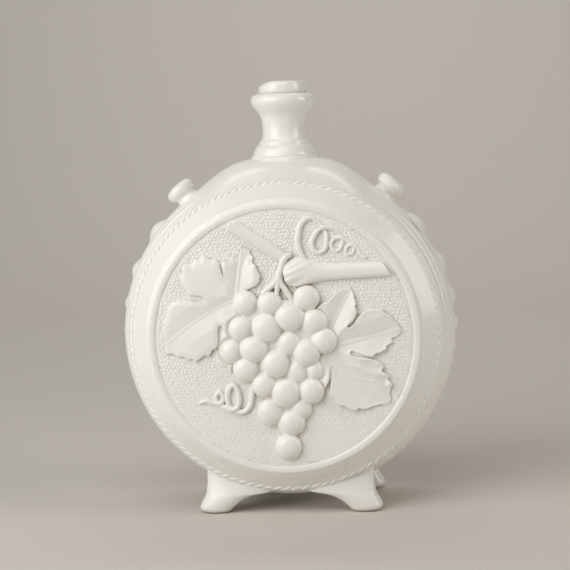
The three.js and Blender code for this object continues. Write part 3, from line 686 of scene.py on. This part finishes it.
GRAPES = {                      # by how far the middle stands out: across, up, half width, half height
    1.9: (
        (4, 12, 8.7, 8.1), (-9.5, 6, 8.7, 8.3), (-17.3, -6, 8.3, 7.8), (12.7, -8.8, 7.8, 7.8),
        (-5, -14.8, 8.5, 8.0), (0.5, -31.5, 8.4, 8.5),
    ),
    0.5: (
        (-21.5, 20.5, 7.2, 7.3), (-7.5, 20, 7.4, 7.2), (13.5, 22.7, 7.7, 7.7), (17.5, 9, 8.0, 7.6),
        (-24.5, 6, 7.4, 7.2), (3, -3, 7.6, 7.6), (23, -2, 7.5, 7.7), (-30, -7, 6.6, 7.3),
        (-22, -17.5, 8.1, 7.6), (-12, -27, 7.4, 7.6), (14.8, -31, 7.6, 7.6), (-9, -42.5, 7.9, 8.1),
        (3, -49, 7.8, 7.7), (0.7, -63, 7.6, 7.7),
    ),
    -0.6: ((7, -19.5, 7.2, 7.6), (17, -19, 5.2, 6.4), (8.5, -41, 6.6, 7.0)),
}
GRAPE_DEPTH = 5.4
GRAPE_FULLNESS = 0.9            # power of the swell: below one is flatter in the middle
BED = (
    (-22, 21), (-7, 21), (13.5, 22.7), (17.5, 9), (23, -2), (17, -19), (14.8, -31), (3.3, -49), (0.7, -62.8),
    (-9, -42.5), (-12, -27), (-21.5, -17.5), (-30, -7.5), (-24.5, 6),
)
BED_HEIGHT = 2.2
LEFT_LEAF = (
    (-22, 22), (-20, 28.3), (-15, 30.5), (-13, 33), (-12.5, 36), (-14, 39), (-15, 42), (-17, 43.5),
    (-16, 46.5), (-18, 49), (-17.5, 51), (-22.5, 53), (-24, 51), (-26, 47.5), (-28, 46.5), (-30, 44.5),
    (-33, 45), (-34, 41), (-33.5, 38), (-33, 33), (-35, 40), (-36, 44), (-38, 46), (-40, 45.3), (-41, 46),
    (-44, 48), (-46, 47.5), (-47, 46), (-50, 46.5), (-51, 44.5), (-52, 43.7), (-56, 44.2), (-58, 42),
    (-58, 38), (-59, 35), (-58, 32), (-55, 28), (-54, 25.6), (-48, 25.2), (-45, 24.4), (-44.5, 23),
    (-45.5, 21.8), (-50, 21.5), (-56, 22.8), (-60, 23), (-65, 21), (-66, 19), (-68, 12), (-69.5, 4),
    (-70, -2), (-69.5, -6), (-68, -8.2), (-64, -8), (-62, -9.7), (-58, -9.8), (-56, -11.2), (-53, -11.2),
    (-51, -13), (-48.5, -11), (-45.5, -9), (-43.5, -9.8), (-42, -7.5), (-41, -5.2), (-40, -6), (-38.5, -4),
    (-37.7, 0), (-38, 5), (-37, 8), (-35.6, 8), (-34.8, 5), (-36, 1), (-37, -3), (-38.5, -8), (-38.5, -13),
    (-36, -15.5), (-33, -16.5), (-32, -19), (-29.5, -19.5), (-27, -22), (-25, -24), (-20, -16), (-22, 0),
)
LEFT_FOLDS = (                  # depth at the base, depth at the tip, reach to each side, the vein
    (2.7, 2.4, 8.5, ((-27, 22), (-25.5, 32), (-24, 42), (-22.5, 52))),
    (1.6, 0.3, 7.5, ((-27, 22), (-36, 26.5), (-43, 31), (-50, 37), (-56, 43))),
    (2.8, 0.7, 9.0, ((-27, 22), (-36, 19), (-44, 14.5), (-52, 9.5), (-60, 4), (-67, -2))),
)
LEFT_PRESSES = (                # where a thumb pressed the leaf down: place, reach, depth
    ((-57, 38), 15, 0.9), ((-17, 49), 9, 0.5), ((-64, -4), 9, 0.5),
)
RIGHT_LEAF = (
    (18, 15), (20, 17.5), (22, 19), (24, 20.5), (25.5, 20), (27, 22.5), (28.5, 23), (30, 25), (32, 26),
    (34, 26.5), (36, 27), (38.5, 28.5), (39.5, 27), (40.5, 24.5), (40.8, 22), (41.7, 19), (41, 17),
    (42, 14.5), (41.5, 12.5), (40, 9.5), (37.5, 7.2), (36.2, 6.2), (37.5, 5), (39.5, 6.5), (42, 10),
    (45, 13.5), (48, 15), (52, 15.5), (56, 15.5), (58, 13), (60, 12), (62, 10), (65, 7), (67, 4), (66.5, 2),
    (64, -0.5), (61, -1.8), (62.5, -3.5), (60, -5), (58, -6), (58.5, -7.5), (55, -9.3), (52, -10), (50, -12),
    (46, -11), (42, -9.5), (38.5, -8.2), (37.6, -9.5), (38.4, -11), (42, -12), (47, -12.3), (51, -13.5),
    (54, -15), (56.5, -17.5), (55, -20), (57, -21.5), (59.5, -23), (58.5, -25), (60.5, -27), (61, -29),
    (59.5, -32), (60, -36), (59, -39), (55, -39.5), (50, -40.5), (47, -41.5), (44, -42), (41.5, -41),
    (41, -42.3), (38, -42.3), (35, -41), (33, -39.5), (31, -40), (29, -38), (28, -35), (26.5, -34.5),
    (25.8, -31), (26, -27), (27, -23), (28, -18.5), (27, -17.3), (25.9, -18.5), (25.5, -22), (25, -25.5),
    (24, -27), (22.5, -30), (16, -26), (16, -10), (18, 2),
)
RIGHT_FOLDS = (
    (3.0, 1.7, 7.5, ((25, -7), (27, 5), (29.5, 10), (33, 17), (38, 26.5))),
    (3.2, 1.5, 9.5, ((25, -7), (34, -4), (45, -1.5), (55, 1), (66, 3.5))),
    (3.6, 2.2, 10.5, ((25, -7), (31, -16), (38, -23), (47, -31), (58, -38))),
    (0.8, 1.2, 4.5, ((38, -23), (47, -25.5), (57, -27))),
    (0.7, 1.0, 4.0, ((31, -16), (42, -17.5), (53, -17))),
)
RIGHT_PRESSES = (               # and, with a depth below zero, where a tooth stands up
    ((66, 2), 10, 0.7), ((53.5, -15.6), 1.7, -0.9), ((57.2, -21.4), 1.7, -0.9), ((59.3, -27.4), 1.7, -0.9),
    ((47, -27), 4, 0.4), ((50, -33.5), 4, -0.5), ((47, 14), 3, -0.4), ((56, 13.5), 3, -0.4),
)
LEFT_WEBS = (((-33, 33), (-34.5, 44)), ((-45, 23.3), (-57, 24.3)), ((-36.3, 7.5), (-37.5, -5)))
RIGHT_WEBS = (((36.8, 5.8), (42, 11.5)), ((38, -9.5), (49, -12.2)), ((27, -17.8), (25.6, -26)))
WEB = (0.9, 1.8)                # height and radius of the clay left in the slits of a leaf
LEAF_HEIGHT = 2.8
LEAF_THINNING = (0.7, 18, 46)   # how much lower the tips are, and over which distances from the base
LEAF_TUCK = (1.3, 1.8)          # how far a leaf dips where it goes under the grapes, and from how far away
LEAF_SKIN = 0.32
LEFT_ROLL = (-0.4, 1.2)         # height, below zero where it droops, and width of a leaf's curled edge
RIGHT_ROLL = (0.25, 0.9)
LEAF_LOWEST = 0.6               # above the floor, so that no pebble shows through
LEAF_RIB = (0.3, 0.45)          # how far a vein stands up in its fold, and its width
LEAF_SWELL = (0.25, 9)          # height and grain of a leaf's slow unevenness
FOLD_ROUND = 0.4                # radius at the bottom of a fold
LINE_STEP = 0.4                 # between points along an outline or a vein


def plate(bm, outline, height):
    """A flat tile of clay in the shape of an outline, sunk in the floor."""
    edges = loop_of(bm, [(across, up, -ROOT) for across, up in outline])
    edges.append(bm.edges.new((edges[-1].verts[1], edges[0].verts[0])))
    tile = bmesh.ops.edgeloop_fill(bm, edges=edges)["faces"]
    drawn = bmesh.ops.extrude_face_region(bm, geom=tile)["geom"]
    bmesh.ops.translate(bm, vec=(0, 0, ROOT + height), verts=only(bmesh.types.BMVert, drawn))
    bmesh.ops.recalc_face_normals(bm, faces=bm.faces)


def bunch_form():
    bm = bmesh.new()
    plate(bm, BED, BED_HEIGHT)
    for lift, places in GRAPES.items():
        for across, up, wide, tall in places:
            for vert in bmesh.ops.create_icosphere(bm, subdivisions=4, radius=1.0)["verts"]:
                swell = math.copysign(abs(vert.co.z) ** GRAPE_FULLNESS, vert.co.z)
                vert.co.x = across + wide * vert.co.x
                vert.co.y = up + tall * vert.co.y
                vert.co.z = lift + GRAPE_DEPTH * swell
    skin = evaluated(bm, voxel=SKIN)
    soften(skin, 1)
    cut_off(skin, (0, 0, -ROOT), (0, 0, -1))
    return skin


def tree_of(line, spacing):
    """A search tree of points along a line, and how many there are."""
    points = []
    for start, stop in zip(line, line[1:]):
        gap = Vector(stop) - Vector(start)
        count = max(1, round(gap.length / spacing))
        points += [Vector(start) + gap * (step / count) for step in range(count)]
    tree = kdtree.KDTree(len(points))
    for i, point in enumerate(points):
        tree.insert(point.to_3d(), i)
    tree.balance()
    return tree, len(points)


def leaf_form(outline, folds, presses, webs, roll):
    """A leaf that is folded down along its veins, with a curled edge and shallow slits."""
    bm = bmesh.new()
    plate(bm, outline, LEAF_HEIGHT)
    web_height, web_radius = WEB
    for web in webs:
        drawn_out(bm, [Vector((*place, web_height - web_radius)) for place in web], [web_radius] * 2, 16)
    skin = evaluated(bm, voxel=LEAF_SKIN)
    cut_off(skin, (0, 0, -0.5 * ROOT), (0, 0, -1))
    soften(skin, 1)
    edge = tree_of([*outline, outline[0]], LINE_STEP)[0]
    veins = []
    for base, tip, reach, vein in folds:
        veins.append((base, tip, reach, *tree_of(curve_through(vein, 4), LINE_STEP)))
    grapes = [grape for places in GRAPES.values() for grape in places]
    leaf_base = Vector(folds[0][-1][0])
    thinning, thin_from, thin_to = LEAF_THINNING
    roll_height, roll_width = roll
    rib_height, rib_width = LEAF_RIB
    swell_height, swell_grain = LEAF_SWELL
    for vert in skin.verts:
        if vert.co.z < 0.5 * LEAF_HEIGHT:
            continue
        flat = Vector((vert.co.x, vert.co.y, 0))
        fall, rib = 0.0, 0.0
        for base, tip, reach, tree, count in veins:
            _, index, away = tree.find(flat)
            depth = base + (tip - base) * index / count
            fall = max(fall, depth * (1 - math.hypot(away, FOLD_ROUND) / reach))
            rib = max(rib, bell(away, rib_width))
        beside = min((flat.xy - Vector((across, up))).length - tall for across, up, _, tall in grapes)
        fall = max(fall, LEAF_TUCK[0] * (1 - smooth_step(beside, 0, LEAF_TUCK[1])))
        away = edge.find(flat)[2]
        sunk = sum(depth * bell((flat.xy - Vector(place)).length, reach) for place, reach, depth in presses)
        swell = swell_height * noise.noise(flat / swell_grain)
        sunk += thinning * smooth_step((flat.xy - leaf_base).length, thin_from, thin_to)
        curl = roll_height * bell(away - 0.5 * roll_width, roll_width)
        vert.co.z = max(LEAF_LOWEST, vert.co.z - fall - sunk + swell + curl) + rib_height * rib
    soften(skin, 3)
    return skin


LEFT_CANE = (                   # across, up, half width
    (-33, 68.4, 3.9), (-26, 63.8, 4.0), (-14, 55.8, 3.9), (-4, 49.1, 3.7), (1.5, 45.5, 3.4),
)
LEFT_CANE_SHAPE = (0.85, 0.2, 0.0)  # depth as a share of the width, how far it is sunk, how far it leans
LEFT_CANE_CUT = ((-27.5, 64.9), 130)    # place of the cut at its end, and the way it faces in degrees
RIGHT_CANE = (                  # from the knob by the stem to past the cut end
    (1.0, 36.8, 5.5), (2.8, 37.2, 7.4), (6, 38, 8.5), (9.5, 38.2, 8.5), (13.5, 38, 7.6), (17.5, 37.7, 6.4),
    (21.5, 37.5, 5.4), (26, 37.4, 4.8), (33, 37.5, 4.5), (57, 38.1, 4.1), (66, 38.4, 3.9),
)
RIGHT_CANE_SHAPE = (0.66, 0.0, 0.45)
RIGHT_CANE_CUT = ((59.5, 38.4), 34)
KNOB = (7, 8)                   # place along the cane and reach of the knob
KNOB_PRESS = 0.2                # share by which it is pressed flat
KNOB_WRINKLE = (1.0, 2.6, 0.4)  # height, gap and slope of the ridges on it
BRANCH_BASE = (-0.9, 39.0, 1.9, 1.8)
STEM = (                        # across, up, radius, how far the middle stands out
    (
        (5.5, 47.6, 1.5, 1.0), (2.6, 46.4, 1.8, 2.0), (0.4, 43, 1.9, 2.0), (-0.9, 38, 1.9, 1.8),
        (-2.1, 33, 1.8, 1.6),
    ),
    (BRANCH_BASE, (-2.8, 33.5, 1.8, 1.5), (-6.8, 29.5, 1.8, 1.3), (-12, 25.5, 1.6, 1.2)),
    (BRANCH_BASE, (-2.0, 33, 1.7, 1.6), (-3.0, 28, 1.5, 1.6), (-3.6, 23, 1.4, 1.6)),
    (BRANCH_BASE, (-1.0, 33, 1.8, 1.5), (2.0, 27, 1.7, 1.3), (7, 19.5, 1.5, 1.2)),
)
UPPER_TENDRIL = (
    (16, 41.5, 1.5, 0.6), (12.8, 44.5, 1.6, 0.4), (10.3, 49.7, 1.75, 0.5), (9.4, 54.6, 1.75, 0.6),
    (9.9, 59.5, 1.75, 0.6), (11.3, 64.3, 1.7, 0.5), (14.4, 67.6, 1.5, 0.4), (18, 67.9, 1.3, 0.2),
    (21.3, 65.6, 1.2, 0), (24.3, 62.1, 1.15, -0.3), (25.8, 58.4, 1.25, 0.2), (25.8, 54.2, 1.35, 0.5),
    (24.8, 50.3, 1.35, 0.5), (21.4, 48.2, 1.35, 0.5), (18.1, 50.4, 1.35, 0.6), (17.6, 54.4, 1.35, 0.7),
    (19.3, 58.6, 1.35, 0.8), (22.1, 61.6, 1.3, 0.8), (25.5, 62.6, 1.3, 0.6), (29.4, 61.7, 1.25, 0.1),
    (32.7, 59.4, 1.2, -0.3), (34.6, 56.7, 1.15, -0.4), (34.8, 53.8, 1.15, -0.2), (33.8, 50.7, 1.2, 0),
    (30.9, 48.9, 1.2, 0), (28.4, 51.1, 1.2, 0.1), (28.7, 54.3, 1.2, 0.2), (30.9, 56.2, 1.2, 0.2),
    (33.9, 56.3, 1.15, 0.2), (37.2, 54.7, 1.15, -0.1), (40.3, 52.2, 1.1, -0.3), (41.2, 49.8, 1.1, -0.2),
    (40, 47.3, 1.1, -0.1), (37.4, 47, 1.1, 0), (36.4, 49, 1.1, 0), (37.5, 51.4, 1.1, 0.1),
    (40.3, 52.3, 1.1, 0.1), (43, 50.2, 1.1, -0.1), (44.6, 47.4, 1.1, -0.2), (46.2, 45.4, 1.0, 0),
    (48.4, 44.8, 0.9, 0.1),
)
LOWER_TENDRIL = (
    (-17.5, -24.5, 1.7, 0.6), (-18.9, -29, 1.8, 0.3), (-19.5, -34, 1.8, 0.3), (-20.8, -38.8, 1.8, 0.3),
    (-23.8, -42, 1.8, 0.3), (-27.5, -42.6, 1.75, 0.1), (-31.3, -41, 1.7, -0.3), (-33.4, -37, 1.7, 0),
    (-33.6, -32, 1.75, 0.3), (-31.9, -27.8, 1.75, 0.4), (-29.5, -27.2, 1.75, 0.4), (-27.5, -30.5, 1.7, 0.4),
    (-27, -35, 1.7, 0.5), (-28, -39.3, 1.7, 0.8), (-31, -41, 1.65, 0.9), (-34.5, -40, 1.6, 0.5),
    (-37.5, -38.3, 1.5, 0), (-40.2, -35.5, 1.4, 0.1), (-40, -32.3, 1.4, 0.2), (-38.2, -30.8, 1.4, 0.2),
    (-36.5, -32.6, 1.35, 0.3), (-36.4, -35.5, 1.35, 0.5), (-38.4, -37.3, 1.4, 0.6), (-42, -36.9, 1.4, 0.3),
    (-46, -35.6, 1.3, 0.2), (-50.2, -37.2, 1.1, 0),
)


def cane_form(line, shape, cut):
    """A flattened round bar along a line on the floor, with a cut end."""
    flatness, sink, lean = shape
    (across, up), slant = cut
    bm = bmesh.new()
    route = curve_through(line, 6)
    drawn_out(bm, [Vector((place.x, place.y, 0)) for place in route], [place.z for place in route], 40)
    bmesh.ops.scale(bm, vec=(1, 1, flatness), verts=bm.verts)
    bmesh.ops.translate(bm, vec=(0, 0, -sink), verts=bm.verts)
    for vert in bm.verts:
        vert.co.y -= lean * max(0.0, vert.co.z)
    skin = evaluated(bm, voxel=SKIN)
    soften(skin, 2)
    facing = math.radians(slant)
    cut_off(skin, (across, up, 0), (math.cos(facing), math.sin(facing), 0))
    cut_off(skin, (0, 0, -ROOT), (0, 0, -1))
    return skin


def right_cane_form():
    """The cane that ends in a wrinkled knob by the stem."""
    skin = cane_form(RIGHT_CANE, RIGHT_CANE_SHAPE, RIGHT_CANE_CUT)
    along, reach = KNOB
    height, gap, slope = KNOB_WRINKLE
    for vert in skin.verts:
        if vert.co.z > 0:
            near = bell(vert.co.x - along, reach)
            ridge = noise.noise((vert.co.x / (8 * gap), (vert.co.y - slope * vert.co.x) / gap, 0.5))
            vert.co.z = max(0.0, vert.co.z * (1 - KNOB_PRESS * near) + height * ridge * near)
    return skin


def cord_form(routes):
    """Cords of clay along routes on the floor."""
    bm = bmesh.new()
    for route in routes:
        line = curve_through(route, 5)
        middles = [Vector((place.x, place.y, place.w)) for place in line]
        drawn_out(bm, middles, [place.z for place in line], 14)
    skin = evaluated(bm, voxel=CORD_SKIN)
    soften(skin, 1)
    return skin


def make_vine():
    forms = {
        "grape_bunch": bunch_form(),
        "left_leaf": leaf_form(LEFT_LEAF, LEFT_FOLDS, LEFT_PRESSES, LEFT_WEBS, LEFT_ROLL),
        "right_leaf": leaf_form(RIGHT_LEAF, RIGHT_FOLDS, RIGHT_PRESSES, RIGHT_WEBS, RIGHT_ROLL),
        "left_cane": cane_form(LEFT_CANE, LEFT_CANE_SHAPE, LEFT_CANE_CUT),
        "right_cane": right_cane_form(),
        "bunch_stem": cord_form(STEM),
        "upper_tendril": cord_form([UPPER_TENDRIL]),
        "lower_tendril": cord_form([LOWER_TENDRIL]),
    }
    for name, form in forms.items():
        on_both_faces(form, on_vine, f"{name}_glazed", f"front_{name}", f"rear_{name}", crease=75)


# Stage: floor, light and camera

def make_floor():
    # Matt painted sweep: a pale floor that curves up into a backdrop
    material, shader = blank_material("matt_painted_sweep")
    shader.inputs["Base Color"].default_value = linear("#D0CAC2")
    shader.inputs["Roughness"].default_value = 0.8
    bm = bmesh.new()
    side, front, back, top = 4, -3, 1.6, 3.5
    radius, steps = 0.6, 12
    line = [(-side, front, 0), (-side, back - radius, 0)]
    for step in range(1, steps + 1):
        angle = 0.5 * math.pi * step / steps
        line.append((-side, back - radius + radius * math.sin(angle), radius - radius * math.cos(angle)))
    line.append((-side, back, top))
    drawn = bmesh.ops.extrude_edge_only(bm, edges=loop_of(bm, line))["geom"]
    bmesh.ops.translate(bm, vec=(2 * side, 0, 0), verts=only(bmesh.types.BMVert, drawn))
    bmesh.ops.recalc_face_normals(bm, faces=bm.faces)
    mesh = bpy.data.meshes.new("floor_sweep")
    bm.to_mesh(mesh)
    bm.free()
    mesh.shade_smooth()
    mesh.materials.append(material)
    floor = bpy.data.objects.new("floor_sweep", mesh)
    bpy.context.collection.objects.link(floor)


def add_lamp(name, place, aim, size, power, code):
    data = bpy.data.lights.new(name, "AREA")
    data.shape = "RECTANGLE"
    data.size, data.size_y = size
    data.energy = power
    data.color = linear(code)[:3]
    lamp = bpy.data.objects.new(name, data)
    lamp.location = place
    lamp.rotation_euler = (Vector(aim) - Vector(place)).to_track_quat("-Z", "Y").to_euler()
    bpy.context.collection.objects.link(lamp)


def make_light():
    aim = (0, 0, 0.12)
    add_lamp("window_left", (-0.6, -0.6, 0.5), aim, (0.8, 0.9), 7.2, "#FFFFFE")
    add_lamp("window_right", (0.92, -0.24, 0.46), aim, (0.4, 0.7), 3.5, "#FFFBF6")
    add_lamp("window_above", (0, -0.6, 1.05), aim, (0.6, 0.6), 1.9, "#FFFFFE")
    add_lamp("backdrop_wash", (0, 0.7, 1.5), (0, 1.6, 0.5), (1.6, 0.4), 12, "#FFFFFE")
    world = bpy.data.worlds.new("soft_room")
    world.use_nodes = True
    sky = world.node_tree.nodes["Background"]
    sky.inputs["Color"].default_value = linear("#F2F1EF")
    sky.inputs["Strength"].default_value = 0.03
    bpy.context.scene.world = world


CAMERA_YAW = 4.60               # degrees round to the right
CAMERA_HEIGHT = 227.8
CAMERA_DISTANCE = 984.4
CAMERA_ROLL = 1.82              # degrees
CAMERA_AIM = (-2.09, 0, 129.52)
CAMERA_LENS = 105.0             # on a frame 36 wide


def make_camera():
    yaw, roll = math.radians(CAMERA_YAW), math.radians(CAMERA_ROLL)
    place = Vector((math.sin(yaw) * CAMERA_DISTANCE, -math.cos(yaw) * CAMERA_DISTANCE, CAMERA_HEIGHT))
    ahead = (Vector(CAMERA_AIM) - place).normalized()
    right = ahead.cross(Vector((0, 0, 1))).normalized()
    above = right.cross(ahead)
    rolled_right = right * math.cos(roll) - above * math.sin(roll)
    rolled_above = right * math.sin(roll) + above * math.cos(roll)
    data = bpy.data.cameras.new("photo_view")
    data.sensor_width = 36
    data.lens = CAMERA_LENS
    camera = bpy.data.objects.new("photo_view", data)
    turn = Matrix((rolled_right, rolled_above, -ahead)).transposed().to_4x4()
    camera.matrix_world = Matrix.Translation(place * MM) @ turn
    bpy.context.collection.objects.link(camera)
    bpy.context.scene.camera = camera


make_camera()
make_floor()
make_light()
make_body()
make_neck_and_stopper()
make_fittings()
make_vine()
bpy.context.scene.view_settings.view_transform = "Standard"
